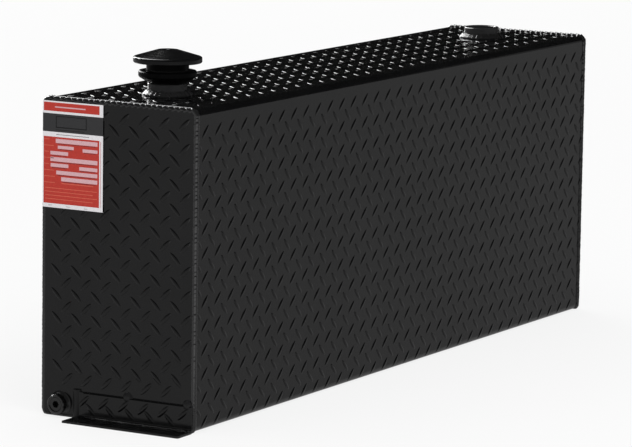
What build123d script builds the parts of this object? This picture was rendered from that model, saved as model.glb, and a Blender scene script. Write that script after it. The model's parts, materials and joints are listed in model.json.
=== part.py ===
"""Slim transfer tank for a pickup truck bed, in millimetres.

X runs along the tank, Y across it and Z up. The origin is on the truck bed, under the middle
of the tank. The end with the label, the drain and the filler beside it is at -X.
"""

import os
from math import ceil, cos, hypot, radians, sin, sqrt

from build123d import *

# Tank shell: one folded sheet of tread plate closed by a plate at each end
TANK_LENGTH = 1219.2
TANK_WIDTH = 254.0
TANK_HEIGHT = 457.2
SHEET = 3.18
BEND_RADIUS = 9.0

# Welds on the shell
BEAD_RADIUS = 4.3
SEAM_GAP = 1.6
SEAM_CROWN_WIDTH = 9.0
SEAM_CROWN_HEIGHT = 1.6

# Anti-slosh baffles: folded pans across the tank
BAFFLE_SHEET = 3.18
BAFFLE_FLANGE = 25.0
BAFFLE_SPACING = 406.4
BAFFLE_CORNER_CUT = 32.0
BAFFLE_BEND = 5.0
BAFFLE_GAP = 0.3
FLOW_HOLE_RADIUS = 38.0
FLOW_HOLE_PITCH = 150.0
TACK_RADIUS = 4.0
TACK_LENGTH = 40.0
TACK_PITCH = 280.0

# Welded pipe fittings on the top: the same coupling under the filler and at the pump port
COUPLING_RADIUS = 28.6
COUPLING_BORE = 23.0
COUPLING_LENGTH = 25.4
COUPLING_STAND = 17.5
COUPLING_CHAMFER = 1.2
COUPLING_FIT = 0.1
FITTING_INSET = 127.0
RING_WELD_REACH = 7.4
RING_WELD_RISE = 8.5

# Drain coupling low on the -X end and its plug, with clear plate on both sides of its weld
DRAIN_RADIUS = 14.3
DRAIN_BORE = 9.6
DRAIN_LENGTH = 23.8
DRAIN_STAND = 12.0
DRAIN_HEIGHT = 18.5
DRAIN_WELD = 4.0
DRAIN_CLEARANCE = 11.7
PLUG_LENGTH = 14.0
PLUG_INSET = 1.0
PLUG_FIT = 0.05
PLUG_HEX = 9.5
PLUG_HEX_DEPTH = 8.0

# Mounting angle: bent tread plate welded across the foot of each end, as far as the drain
ANGLE_REACH = 40.0
ANGLE_RISE = 39.0
ANGLE_BEND = 3.2
ANGLE_BEAD_WIDTH = 13.0
ANGLE_BEAD_HEIGHT = 5.2
ANGLE_BEAD_FOOT = 3.0
SPOT_RADIUS = 8.5
SPOT_HEIGHT = 4.6
SPOT_INSET = 9.0
SPOT_SHARE = 0.56

# Filler adapter: screwed into its coupling, with a flange and a threaded neck
ADAPTER_BORE = 19.0
ADAPTER_THREAD_FIT = 0.05
ADAPTER_COLLAR_RADIUS = 24.1
FLANGE_RADIUS = 42.0
FLANGE_UNDERSIDE = 20.5
FLANGE_EDGE = 26.5
FLANGE_TOP = 35.2
FLANGE_CONE_RADIUS = 32.0
FLANGE_CHAMFER = 1.4
NECK_RADIUS = 26.2
NECK_TOP = 44.6

# Filler cap: a cast mushroom with a skirt that screws down the neck
GASKET = 1.6
GASKET_CLEARANCE = 0.3
SKIRT_RADIUS = 30.6
SKIRT_FIT = 0.05
RIM_RADIUS = 49.5
RIM_FOOT = 46.8
RIM_TOP = 54.8
CROWN_TOP = 65.0
CROWN_FLAT_RADIUS = 15.5
CROWN_WALL = 3.2
RIM_WALL = 2.8
RIM_ROUND = 3.0
RIM_CHAMFER = 1.2
THREAD_SHOULDER = 48.8
VENT_CHAMBER_RADIUS = 17.0
VENT_CHAMBER_TOP = 58.8
VENT_SLOT_WIDTH = 3.0
VENT_SLOT_HEIGHT = 2.6
VENT_SLOT_FOOT = 52.5
VENT_SLOT_COUNT = 3
KEY_SLOT_RADIUS = 30.0
KEY_SLOT_ANGLE = -129.0
KEY_SLOT_LENGTH = 7.0
KEY_SLOT_WIDTH = 3.0
KEY_SLOT_DEPTH = 2.0

# Vent valve inside the cap
SEAT_PLATE = 1.5
SEAT_PLATE_CLEARANCE = 0.4
SEAT_BORE = 6.5
SEAT_SCREW_CIRCLE = 21.0
SEAT_SCREW_COUNT = 3
SEAT_SCREW_RADIUS = 1.5
SEAT_SCREW_HEAD_RADIUS = 2.6
SEAT_SCREW_HEAD = 1.5
SEAT_SCREW_LENGTH = 5.0
POPPET_RADIUS = 10.0
POPPET_DISC = 1.2
POPPET_HUB_RADIUS = 4.4
POPPET_HUB_TOP = 54.8
POPPET_SEAL = 0.8
POPPET_SEAL_OUTER = 9.6
POPPET_SEAL_INNER = 7.2
VENT_TRAVEL = 1.5
PIN_RADIUS = 2.5
PIN_FIT = 0.05
PIN_END_GAP = 0.3
SPRING_WIRE_RADIUS = 0.5
SPRING_WIRE_SIDES = 4
SPRING_CLEARANCE = 0.3
SPRING_TURNS = 3.5

# Raised lugs of the tread plate, in two crossed families on one lattice
LUG_LENGTH = 24.0
LUG_WIDTH = 6.0
LUG_HEIGHT = 1.3
LUG_PITCH_ACROSS = 33.3
LUG_PITCH_UP = 34.35
LUG_FROM_SIDE = 20.6
LUG_FROM_TOP = 36.8
LUG_EDGE = 12.5
LUG_ANGLE_GAP = 11.0

# Rows of lugs on the mounting angle: the first lug's distance from the -Y side, and the row's
# distance from the floor or, on the foot, from the end of the tank
UPPER_ROW_START = 14.6
UPPER_ROW_HEIGHT = 26.4
LOWER_ROW_START = 36.5
LOWER_ROW_HEIGHT = 15.1
FOOT_ROW_START = 26.9
FOOT_ROW_REACH = 29.5

# Label, lying on the lugs
LABEL_WIDTH = 101.6
LABEL_HEIGHT = 152.4
LABEL_THICKNESS = 0.3
LABEL_TOP_GAP = 4.2
LABEL_CORNER = 2.0

# Places worked out from the sizes above
end_face = TANK_LENGTH / 2
wrap_end = end_face - SHEET
side_face = TANK_WIDTH / 2
filler_x = FITTING_INSET - TANK_LENGTH / 2
pump_x = TANK_LENGTH / 2 - FITTING_INSET
drain_reach = DRAIN_RADIUS + DRAIN_WELD
drain_space = drain_reach + DRAIN_CLEARANCE
drain_y = side_face - drain_space
angle_end_y = drain_y - drain_space
angle_length = angle_end_y + side_face
plate_hole = COUPLING_RADIUS + COUPLING_FIT
coupling_foot = COUPLING_STAND - COUPLING_LENGTH
drain_face = -end_face - DRAIN_STAND
bead_toe = SHEET + sqrt(BEAD_RADIUS**2 - SHEET**2)
gasket_top = FLANGE_TOP + GASKET
skirt_bore = NECK_RADIUS + SKIRT_FIT
seat_foot = THREAD_SHOULDER - SEAT_PLATE
disc_foot = THREAD_SHOULDER + POPPET_SEAL
disc_top = disc_foot + POPPET_DISC

os.makedirs("parts", exist_ok=True)


def save(piece, name):
    """Label a finished piece and write it to its own file."""
    piece.label = name
    export_step(piece, f"parts/{name}.step")


def fitting_plane(x):
    """Plane through a top fitting's axis: radius along its x, height above the tank along its y."""
    return Plane(origin=(x, 0, TANK_HEIGHT), x_dir=(1, 0, 0), z_dir=(0, -1, 0))


def fitting_axis(x):
    """Upright axis of a top fitting."""
    return Axis((x, 0, 0), (0, 0, 1))


def crown_height(radius):
    """Height of the cap's sloping crown above the tank at a radius."""
    slope = (CROWN_TOP - RIM_TOP) / (RIM_RADIUS - CROWN_FLAT_RADIUS)
    return CROWN_TOP - slope * (radius - CROWN_FLAT_RADIUS)


def section_rectangle(inset, mode=Mode.ADD):
    """Outline of the tank's cross section, moved inwards, on the active sketch."""
    width, height = TANK_WIDTH - 2 * inset, TANK_HEIGHT - 2 * inset
    with Locations((0, TANK_HEIGHT / 2)):
        RectangleRounded(width, height, BEND_RADIUS - inset, mode=mode)


def lug_grid(across_range, up_range):
    """Places of the lugs on an end seen from outside, as (across, up, turn), in two crossed families."""
    places = []
    for family, turn in ((0, -45), (0.5, 45)):
        first = LUG_FROM_SIDE - side_face + family * LUG_PITCH_ACROSS
        highest = TANK_HEIGHT - LUG_FROM_TOP - (family - 1) * LUG_PITCH_UP
        for column in range(ceil(TANK_WIDTH / LUG_PITCH_ACROSS)):
            for row in range(ceil(TANK_HEIGHT / LUG_PITCH_UP) + 1):
                across = first + column * LUG_PITCH_ACROSS
                up = highest - row * LUG_PITCH_UP
                if across_range[0] < across < across_range[1] and up_range[0] < up < up_range[1]:
                    places.append((across, up, turn))
    return places


def end_lug_places(face_x, side):
    """Where the lugs stand on an end plate, clear of its edges, the mounting angle and the drain."""
    plane = Plane(origin=(face_x, 0, 0), x_dir=(0, -side, 0), z_dir=(-side, 0, 0))
    reach = side_face - LUG_EDGE
    places = []
    for across, up, turn in lug_grid((-reach, reach), (LUG_EDGE, TANK_HEIGHT - LUG_EDGE)):
        behind_angle = up < ANGLE_RISE + LUG_ANGLE_GAP and -across < angle_end_y + LUG_ANGLE_GAP
        drain_distance = hypot(across + drain_y, up - DRAIN_HEIGHT)
        near_drain = side > 0 and drain_distance < drain_reach + LUG_LENGTH / 2
        if not behind_angle and not near_drain:
            places.append(plane.location * Location((across, up, 0), turn))
    return places


def angle_row_places(plane, direction, start, distance, turn):
    """Where one row of lugs stands on a leg of the near mounting angle, clear of its free end."""
    count = ceil((angle_length - start - LUG_EDGE) / LUG_PITCH_ACROSS)
    places = []
    for column in range(count):
        y = start + column * LUG_PITCH_ACROSS - side_face
        places.append(plane.location * Location((direction * y, distance, 0), turn))
    return places


def angle_lug_places():
    """Where the lugs stand on both legs of the near mounting angle."""
    upright = Plane(origin=(-end_face - SHEET, 0, 0), x_dir=(0, -1, 0), z_dir=(-1, 0, 0))
    foot = Plane(origin=(-end_face, 0, SHEET), x_dir=(0, 1, 0), z_dir=(0, 0, 1))
    places = angle_row_places(upright, -1, UPPER_ROW_START, UPPER_ROW_HEIGHT, 45)
    places += angle_row_places(upright, -1, LOWER_ROW_START, LOWER_ROW_HEIGHT, -45)
    places += angle_row_places(foot, 1, FOOT_ROW_START, FOOT_ROW_REACH, 45)
    return places


# One lug: a low pyramid on a lozenge, with its length along X
with BuildPart() as tread_lug:
    with BuildSketch():
        with BuildLine():
            Polyline(
                (-LUG_LENGTH / 2, 0),
                (0, -LUG_WIDTH / 2),
                (LUG_LENGTH / 2, 0),
                (0, LUG_WIDTH / 2),
                close=True,
            )
        make_face()
    loft(sections=[tread_lug.pending_faces[0], Vertex(0, 0, LUG_HEIGHT)])

# Shell: the sheet is folded round four long edges and meets itself under the tank
with BuildPart() as tank_wrap:
    with BuildSketch(Plane.YZ.offset(-wrap_end)):
        section_rectangle(0)
        section_rectangle(SHEET, Mode.SUBTRACT)
        with Locations((0, SHEET / 2)):
            Rectangle(SEAM_GAP, 2 * SHEET, mode=Mode.SUBTRACT)
    extrude(amount=2 * wrap_end)
    with BuildSketch(Plane.XY.offset(TANK_HEIGHT)):
        with Locations((filler_x, 0), (pump_x, 0)):
            Circle(plate_hole)
    extrude(amount=-2 * SHEET, mode=Mode.SUBTRACT)
save(tank_wrap.part, "tank_wrap")

# Bottom seam: the weld fills the gap flush underneath and crowns inside the tank
with BuildPart() as weld_bottom_seam:
    with BuildSketch(Plane.YZ.offset(-wrap_end)):
        with Locations((0, SHEET / 2)):
            Rectangle(SEAM_GAP, SHEET)
        with BuildLine():
            crown_left = (-SEAM_CROWN_WIDTH / 2, SHEET)
            crown_right = (SEAM_CROWN_WIDTH / 2, SHEET)
            ThreePointArc(crown_left, (0, SHEET + SEAM_CROWN_HEIGHT), crown_right)
            Line(crown_right, crown_left)
        make_face()
    extrude(amount=2 * wrap_end)
save(weld_bottom_seam.part, "weld_bottom_seam")

# End plates: set corner to corner with the shell, so the weld fills the open corner
with BuildPart() as end_plate_far:
    with BuildSketch(Plane.YZ.offset(wrap_end)):
        section_rectangle(SHEET)
    extrude(amount=SHEET)
    with Locations(*end_lug_places(end_face, -1)):
        add(tread_lug.part)
save(end_plate_far.part, "end_plate_far")

with BuildPart() as end_plate_near:
    with BuildSketch(Plane.YZ.offset(-end_face)):
        section_rectangle(SHEET)
        with Locations((drain_y, DRAIN_HEIGHT)):
            Circle(DRAIN_RADIUS + COUPLING_FIT, mode=Mode.SUBTRACT)
    extrude(amount=SHEET)
    with Locations(*end_lug_places(-end_face, 1)):
        add(tread_lug.part)
save(end_plate_near.part, "end_plate_near")

# Mounting angle across the foot of the near end, level with the -Y side
with BuildPart() as mounting_angle_near:
    angle_plane = Plane(origin=(-end_face, -side_face, 0), x_dir=(-1, 0, 0), z_dir=(0, 1, 0))
    with BuildSketch(angle_plane) as angle_sketch:
        with BuildLine():
            Polyline(
                (0, 0),
                (ANGLE_REACH, 0),
                (ANGLE_REACH, SHEET),
                (SHEET, SHEET),
                (SHEET, ANGLE_RISE),
                (0, ANGLE_RISE),
                close=True,
            )
        make_face()
        by_distance = angle_sketch.vertices().sort_by_distance((0, 0))
        fillet(by_distance[1], radius=ANGLE_BEND)
        outer_corner = angle_sketch.vertices().sort_by_distance((0, 0))[0]
        fillet(outer_corner, radius=ANGLE_BEND + SHEET)
    extrude(amount=angle_length)
    with Locations(*angle_lug_places()):
        add(tread_lug.part)
save(mounting_angle_near.part, "mounting_angle_near")

with BuildPart() as mounting_angle_far:
    add(mounting_angle_near.part, rotation=(0, 0, 180))
save(mounting_angle_far.part, "mounting_angle_far")

# Drain: a small coupling through the end plate, with a flush plug that has a hexagon socket
with BuildPart() as drain_coupling:
    with BuildSketch(Plane.YZ.offset(drain_face)):
        with Locations((drain_y, DRAIN_HEIGHT)):
            Circle(DRAIN_RADIUS)
            Circle(DRAIN_BORE, mode=Mode.SUBTRACT)
    extrude(amount=DRAIN_LENGTH)
    chamfer(drain_coupling.edges().group_by(Axis.X)[0], length=COUPLING_CHAMFER)
save(drain_coupling.part, "drain_coupling")

# End welds: a bead of four short faces all the way round each open corner, dressed flat under
# the tank and behind the mounting angle
with BuildPart() as end_bead:
    with BuildLine(Plane.YZ.offset(end_face)) as bead_path:
        FilletPolyline(
            (0, TANK_HEIGHT),
            (side_face, TANK_HEIGHT),
            (side_face, 0),
            (0, 0),
            radius=BEND_RADIUS,
        )
    with BuildSketch(Plane(origin=(end_face, 0, TANK_HEIGHT), x_dir=(1, 0, 0), z_dir=(0, -1, 0))):
        with BuildLine():
            crest = BEAD_RADIUS * cos(radians(45)) - SHEET
            shoulder = BEAD_RADIUS - SHEET
            Polyline(
                (-bead_toe, 0),
                (-SHEET, shoulder),
                (crest, crest),
                (shoulder, -SHEET),
                (0, -bead_toe),
                (0, -SHEET),
                (-SHEET, -SHEET),
                (-SHEET, 0),
                close=True,
            )
        make_face()
    sweep(path=bead_path.line)
    mirror(about=Plane.XZ)
    split(bisect_by=Plane.XY, keep=Keep.TOP)

with BuildPart() as weld_end_far:
    add(end_bead.part)
    add(mounting_angle_far.part, mode=Mode.SUBTRACT)
save(weld_end_far.part, "weld_end_far")

with BuildPart() as weld_end_near:
    mirror(end_bead.part, about=Plane.YZ)
    add(mounting_angle_near.part, mode=Mode.SUBTRACT)
    add(drain_coupling.part, mode=Mode.SUBTRACT)
save(weld_end_near.part, "weld_end_near")

# Baffles: pans folded towards the middle of the tank, with cut corners and flow holes
baffle_width = TANK_WIDTH - 2 * (SHEET + BAFFLE_GAP)
baffle_floor = SHEET + SEAM_CROWN_HEIGHT + BAFFLE_GAP
baffle_ceiling = TANK_HEIGHT - SHEET - BAFFLE_GAP
baffle_height = baffle_ceiling - baffle_floor
baffle_middle = (baffle_ceiling + baffle_floor) / 2
baffle_face = BAFFLE_SPACING / 2
with BuildPart() as baffle_far:
    with BuildSketch(Plane.YZ.offset(baffle_face)):
        with Locations((0, baffle_middle)):
            Rectangle(baffle_width, baffle_height)
    extrude(amount=-BAFFLE_FLANGE)
    rim_edges = baffle_far.edges().group_by(Axis.X)[-1]
    fillet(rim_edges, radius=BAFFLE_BEND)
    with BuildSketch(Plane.YZ.offset(baffle_face - BAFFLE_SHEET)):
        with Locations((0, baffle_middle)):
            Rectangle(baffle_width - 2 * BAFFLE_SHEET, baffle_height - 2 * BAFFLE_SHEET)
    extrude(amount=-BAFFLE_FLANGE, mode=Mode.SUBTRACT)
    with BuildSketch(Plane.YZ.offset(baffle_face)):
        with Locations((0, baffle_middle)):
            with GridLocations(baffle_width, baffle_height, 2, 2):
                Rectangle(BAFFLE_CORNER_CUT, BAFFLE_CORNER_CUT, rotation=45)
                Rectangle(BAFFLE_CORNER_CUT, BAFFLE_CORNER_CUT)
            with GridLocations(0, FLOW_HOLE_PITCH, 1, 2):
                Circle(FLOW_HOLE_RADIUS)
    extrude(amount=-BAFFLE_FLANGE, mode=Mode.SUBTRACT)
save(baffle_far.part, "baffle_far")

with BuildPart() as baffle_near:
    mirror(baffle_far.part, about=Plane.YZ)
save(baffle_near.part, "baffle_near")

# Tack welds between each baffle's side flanges and the shell
inner_wall = side_face - SHEET
flange_lip = baffle_face - BAFFLE_FLANGE
with BuildPart() as baffle_welds:
    for level in (-0.5, 0.5):
        tack_foot = baffle_middle + level * TACK_PITCH - TACK_LENGTH / 2
        with BuildSketch(Plane.XY.offset(tack_foot)):
            for along in (-1, 1):
                for across in (-1, 1):
                    with Locations((along * flange_lip, across * inner_wall)):
                        Circle(TACK_RADIUS)
            for along in (-1, 1):
                with Locations((along * (flange_lip + TACK_RADIUS), 0)):
                    Rectangle(2 * TACK_RADIUS, TANK_WIDTH, mode=Mode.SUBTRACT)
            for across in (-1, 1):
                with Locations((0, across * (inner_wall + TACK_RADIUS))):
                    Rectangle(BAFFLE_SPACING, 2 * TACK_RADIUS, mode=Mode.SUBTRACT)
        extrude(amount=TACK_LENGTH)
save(baffle_welds.part, "baffle_welds")


def build_coupling(x):
    """Half coupling through the top sheet, with a plain bore where the pipe thread is."""
    with BuildPart() as coupling:
        with BuildSketch(Plane.XY.offset(TANK_HEIGHT + coupling_foot)):
            with Locations((x, 0)):
                Circle(COUPLING_RADIUS)
                Circle(COUPLING_BORE, mode=Mode.SUBTRACT)
        extrude(amount=COUPLING_LENGTH)
        chamfer(coupling.edges().group_by(Axis.Z)[-1], length=COUPLING_CHAMFER)
    return coupling.part


def build_ring_weld(x):
    """Hollow fillet weld round the foot of a top coupling."""
    with BuildPart() as ring_weld:
        with BuildSketch(fitting_plane(x)):
            with BuildLine():
                foot = (COUPLING_RADIUS + RING_WELD_REACH, 0)
                top = (COUPLING_RADIUS, RING_WELD_RISE)
                waist = (COUPLING_RADIUS + RING_WELD_REACH * 0.36, RING_WELD_RISE * 0.36)
                ThreePointArc(top, waist, foot)
                Polyline(foot, (COUPLING_RADIUS, 0), top)
            make_face()
        revolve(axis=fitting_axis(x))
    return ring_weld.part


save(build_coupling(filler_x), "filler_coupling")
save(build_coupling(pump_x), "pump_coupling")
save(build_ring_weld(filler_x), "weld_filler_coupling")
save(build_ring_weld(pump_x), "weld_pump_coupling")

# Weld round the drain coupling, down to the end bead
with BuildPart() as weld_drain_coupling:
    drain_section = Plane(origin=(-end_face, drain_y, DRAIN_HEIGHT), x_dir=(0, 0, 1), z_dir=(0, 1, 0))
    with BuildSketch(drain_section):
        with BuildLine():
            weld_foot = (drain_reach, 0)
            weld_root = (DRAIN_RADIUS, 0)
            weld_top = (DRAIN_RADIUS, -DRAIN_WELD)
            ThreePointArc(weld_foot, (DRAIN_RADIUS + DRAIN_WELD * 0.4, -DRAIN_WELD * 0.4), weld_top)
            Polyline(weld_top, weld_root, weld_foot)
        make_face()
    revolve(axis=Axis((0, drain_y, DRAIN_HEIGHT), (1, 0, 0)))
    split(bisect_by=Plane.XY.offset(bead_toe), keep=Keep.TOP)
save(weld_drain_coupling.part, "weld_drain_coupling")

plug_face = drain_face + PLUG_INSET
with BuildPart() as drain_plug:
    with BuildSketch(Plane.YZ.offset(plug_face)):
        with Locations((drain_y, DRAIN_HEIGHT)):
            Circle(DRAIN_BORE - PLUG_FIT)
    extrude(amount=PLUG_LENGTH)
    with BuildSketch(Plane.YZ.offset(plug_face)):
        with Locations((drain_y, DRAIN_HEIGHT)):
            RegularPolygon(PLUG_HEX / 2, 6, major_radius=False)
    extrude(amount=PLUG_HEX_DEPTH, mode=Mode.SUBTRACT)
save(drain_plug.part, "drain_plug")

# Angle welds: an upright bead at the free end and two weld spots on the top edge
spot_sphere = (SPOT_RADIUS**2 + SPOT_HEIGHT**2) / (2 * SPOT_HEIGHT)
with BuildPart() as weld_angle_near:
    with BuildSketch(Plane.XY.offset(ANGLE_BEAD_FOOT)):
        with Locations((-end_face, angle_end_y)):
            Ellipse(ANGLE_BEAD_HEIGHT, ANGLE_BEAD_WIDTH / 2)
    extrude(amount=ANGLE_RISE)
    for place in (SPOT_INSET, SPOT_SHARE * angle_length):
        with Locations((spot_sphere - SPOT_HEIGHT - end_face, place - side_face, ANGLE_RISE)):
            Sphere(spot_sphere)
    split(bisect_by=Plane.YZ.offset(-end_face), keep=Keep.BOTTOM)
    split(bisect_by=Plane.XZ.offset(side_face), keep=Keep.BOTTOM)
    add(mounting_angle_near.part, mode=Mode.SUBTRACT)
    add(weld_end_near.part, mode=Mode.SUBTRACT)
save(weld_angle_near.part, "weld_angle_near")

with BuildPart() as weld_angle_far:
    add(weld_angle_near.part, rotation=(0, 0, 180))
save(weld_angle_far.part, "weld_angle_far")

# Filler adapter
with BuildPart() as filler_adapter:
    with BuildSketch(fitting_plane(filler_x)):
        with BuildLine():
            thread_radius = COUPLING_BORE - ADAPTER_THREAD_FIT
            Polyline(
                (ADAPTER_BORE, 0),
                (thread_radius, 0),
                (thread_radius, COUPLING_STAND),
                (ADAPTER_COLLAR_RADIUS, COUPLING_STAND),
                (ADAPTER_COLLAR_RADIUS, FLANGE_UNDERSIDE),
                (FLANGE_CONE_RADIUS, FLANGE_UNDERSIDE),
                (FLANGE_RADIUS, FLANGE_EDGE),
                (FLANGE_RADIUS, FLANGE_TOP),
                (NECK_RADIUS, FLANGE_TOP),
                (NECK_RADIUS, NECK_TOP),
                (ADAPTER_BORE, NECK_TOP),
                close=True,
            )
        make_face()
    revolve(axis=fitting_axis(filler_x))
    flange_rim = filler_adapter.edges().filter_by(GeomType.CIRCLE)
    flange_rim = flange_rim.filter_by(lambda edge: abs(edge.radius - FLANGE_RADIUS) < SKIRT_FIT)
    chamfer(flange_rim, length=FLANGE_CHAMFER)
save(filler_adapter.part, "filler_adapter")

# Gasket between the adapter's flange and the cap's skirt
with BuildPart() as cap_gasket:
    with BuildSketch(Plane.XY.offset(TANK_HEIGHT + FLANGE_TOP)):
        with Locations((filler_x, 0)):
            Circle(SKIRT_RADIUS)
            Circle(NECK_RADIUS + GASKET_CLEARANCE, mode=Mode.SUBTRACT)
    extrude(amount=GASKET)
save(cap_gasket.part, "cap_gasket")

# Filler cap casting: crown, rim, skirt and the vent chamber over the thread
with BuildPart() as cap_casting:
    with BuildSketch(fitting_plane(filler_x)):
        rim_bore = RIM_RADIUS - RIM_WALL
        with BuildLine():
            Polyline(
                (0, VENT_CHAMBER_TOP),
                (0, CROWN_TOP),
                (CROWN_FLAT_RADIUS, CROWN_TOP),
                (RIM_RADIUS, RIM_TOP),
                (RIM_RADIUS, RIM_FOOT),
                (rim_bore, RIM_FOOT),
                (rim_bore, crown_height(rim_bore) - CROWN_WALL),
                (SKIRT_RADIUS, crown_height(SKIRT_RADIUS) - CROWN_WALL),
                (SKIRT_RADIUS, gasket_top),
                (skirt_bore, gasket_top),
                (skirt_bore, THREAD_SHOULDER),
                (VENT_CHAMBER_RADIUS, THREAD_SHOULDER),
                (VENT_CHAMBER_RADIUS, VENT_CHAMBER_TOP),
                close=True,
            )
        make_face()
    revolve(axis=fitting_axis(filler_x))
    rim_circles = cap_casting.edges().filter_by(GeomType.CIRCLE)
    rim_circles = rim_circles.filter_by(lambda edge: abs(edge.radius - RIM_RADIUS) < SKIRT_FIT)
    fillet(rim_circles.sort_by(Axis.Z)[-1], radius=RIM_ROUND)
    rim_foot_circles = cap_casting.edges().filter_by(GeomType.CIRCLE)
    rim_foot_circles = rim_foot_circles.filter_by(lambda edge: abs(edge.radius - RIM_RADIUS) < SKIRT_FIT)
    chamfer(rim_foot_circles.sort_by(Axis.Z)[0], length=RIM_CHAMFER)
    slot_reach = SKIRT_RADIUS - VENT_CHAMBER_RADIUS + 2 * SKIRT_FIT
    with BuildSketch(Plane.XY.offset(TANK_HEIGHT + VENT_SLOT_FOOT)):
        with Locations((filler_x, 0)):
            with PolarLocations((SKIRT_RADIUS + VENT_CHAMBER_RADIUS) / 2, VENT_SLOT_COUNT):
                Rectangle(slot_reach, VENT_SLOT_WIDTH)
    extrude(amount=VENT_SLOT_HEIGHT, mode=Mode.SUBTRACT)
    key_turn = radians(KEY_SLOT_ANGLE)
    key_x = filler_x + KEY_SLOT_RADIUS * cos(key_turn)
    key_y = KEY_SLOT_RADIUS * sin(key_turn)
    with BuildSketch(Plane.XY.offset(TANK_HEIGHT + crown_height(KEY_SLOT_RADIUS) - KEY_SLOT_DEPTH)):
        with Locations(Location((key_x, key_y), KEY_SLOT_ANGLE + 90)):
            SlotOverall(KEY_SLOT_LENGTH, KEY_SLOT_WIDTH)
    extrude(amount=2 * KEY_SLOT_DEPTH, mode=Mode.SUBTRACT)
    with BuildSketch(Plane.XY.offset(TANK_HEIGHT + CROWN_TOP)):
        with Locations((filler_x, 0)):
            Circle(PIN_RADIUS + PIN_FIT)
    extrude(amount=VENT_CHAMBER_TOP - CROWN_TOP, mode=Mode.SUBTRACT)
    screw_depth = SEAT_SCREW_LENGTH - SEAT_PLATE
    with BuildSketch(Plane.XY.offset(TANK_HEIGHT + THREAD_SHOULDER)):
        with Locations((filler_x, 0)):
            with PolarLocations(SEAT_SCREW_CIRCLE, SEAT_SCREW_COUNT, start_angle=60):
                Circle(SEAT_SCREW_RADIUS)
    extrude(amount=screw_depth, mode=Mode.SUBTRACT)
save(cap_casting.part, "cap_casting")

# Seat plate of the vent and its screws
with BuildPart() as vent_seat_plate:
    with BuildSketch(Plane.XY.offset(TANK_HEIGHT + seat_foot)):
        with Locations((filler_x, 0)):
            Circle(skirt_bore - SEAT_PLATE_CLEARANCE)
            Circle(SEAT_BORE, mode=Mode.SUBTRACT)
            with PolarLocations(SEAT_SCREW_CIRCLE, SEAT_SCREW_COUNT, start_angle=60):
                Circle(SEAT_SCREW_RADIUS, mode=Mode.SUBTRACT)
    extrude(amount=SEAT_PLATE)
save(vent_seat_plate.part, "vent_seat_plate")

with BuildPart() as vent_seat_screws:
    with BuildSketch(Plane.XY.offset(TANK_HEIGHT + seat_foot)):
        with Locations((filler_x, 0)):
            with PolarLocations(SEAT_SCREW_CIRCLE, SEAT_SCREW_COUNT, start_angle=60):
                Circle(SEAT_SCREW_HEAD_RADIUS)
    extrude(amount=-SEAT_SCREW_HEAD)
    with BuildSketch(Plane.XY.offset(TANK_HEIGHT + seat_foot)):
        with Locations((filler_x, 0)):
            with PolarLocations(SEAT_SCREW_CIRCLE, SEAT_SCREW_COUNT, start_angle=60):
                Circle(SEAT_SCREW_RADIUS)
    extrude(amount=SEAT_SCREW_LENGTH)
save(vent_seat_screws.part, "vent_seat_screws")

# Guide pin pressed through the crown and flush with it, on which the vent poppet slides
pin_foot = disc_top + VENT_TRAVEL + PIN_END_GAP
with BuildPart() as vent_guide_pin:
    with BuildSketch(Plane.XY.offset(TANK_HEIGHT + pin_foot)):
        with Locations((filler_x, 0)):
            Circle(PIN_RADIUS)
    extrude(amount=CROWN_TOP - pin_foot)
save(vent_guide_pin.part, "vent_guide_pin")

# Poppet: a disc with a hollow hub, closed below, and a rubber ring that meets the seat
with BuildPart() as vent_poppet:
    with BuildSketch(fitting_plane(filler_x)):
        with BuildLine():
            Polyline(
                (0, disc_foot),
                (POPPET_RADIUS, disc_foot),
                (POPPET_RADIUS, disc_top),
                (POPPET_HUB_RADIUS, disc_top),
                (POPPET_HUB_RADIUS, POPPET_HUB_TOP),
                (PIN_RADIUS + PIN_FIT, POPPET_HUB_TOP),
                (PIN_RADIUS + PIN_FIT, disc_top),
                (0, disc_top),
                close=True,
            )
        make_face()
    revolve(axis=fitting_axis(filler_x))
save(vent_poppet.part, "vent_poppet")

with BuildPart() as vent_poppet_seal:
    with BuildSketch(Plane.XY.offset(TANK_HEIGHT + THREAD_SHOULDER)):
        with Locations((filler_x, 0)):
            Circle(POPPET_SEAL_OUTER)
            Circle(POPPET_SEAL_INNER, mode=Mode.SUBTRACT)
    extrude(amount=POPPET_SEAL)
save(vent_poppet_seal.part, "vent_poppet_seal")

# Vent spring between the poppet's disc and the roof of the chamber
coil_radius = POPPET_HUB_RADIUS + SPRING_CLEARANCE + SPRING_WIRE_RADIUS
coil_foot = disc_top + SPRING_WIRE_RADIUS
coil_rise = VENT_CHAMBER_TOP - disc_top - 2 * SPRING_WIRE_RADIUS
with BuildPart() as vent_spring:
    with BuildLine():
        coil = Helix(
            pitch=coil_rise / SPRING_TURNS,
            height=coil_rise,
            radius=coil_radius,
            center=(filler_x, 0, TANK_HEIGHT + coil_foot),
        )
    with BuildSketch(Plane(origin=coil @ 0, z_dir=coil % 0)):
        RegularPolygon(SPRING_WIRE_RADIUS, SPRING_WIRE_SIDES)
    sweep(path=coil)
save(vent_spring.part, "vent_spring")

# Label: a bare sticker on the near end, on top of the raised lugs
with BuildPart() as label:
    with BuildSketch(Plane.YZ.offset(-end_face - LUG_HEIGHT)):
        with Locations((side_face - LABEL_WIDTH / 2, TANK_HEIGHT - LABEL_TOP_GAP - LABEL_HEIGHT / 2)):
            RectangleRounded(LABEL_WIDTH, LABEL_HEIGHT, LABEL_CORNER)
    extrude(amount=-LABEL_THICKNESS)
save(label.part, "label")
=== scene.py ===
"""Dresses the truck bed transfer tank and shows it as in its photo.

The solids of the part are loaded in their places. This script adds the tread lugs, the ripples of
the welds, the printed label and the finishes, then the studio with its lamps, and the camera.
"""

import json
import math
import random

import bpy
from mathutils import Matrix, Vector


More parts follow.
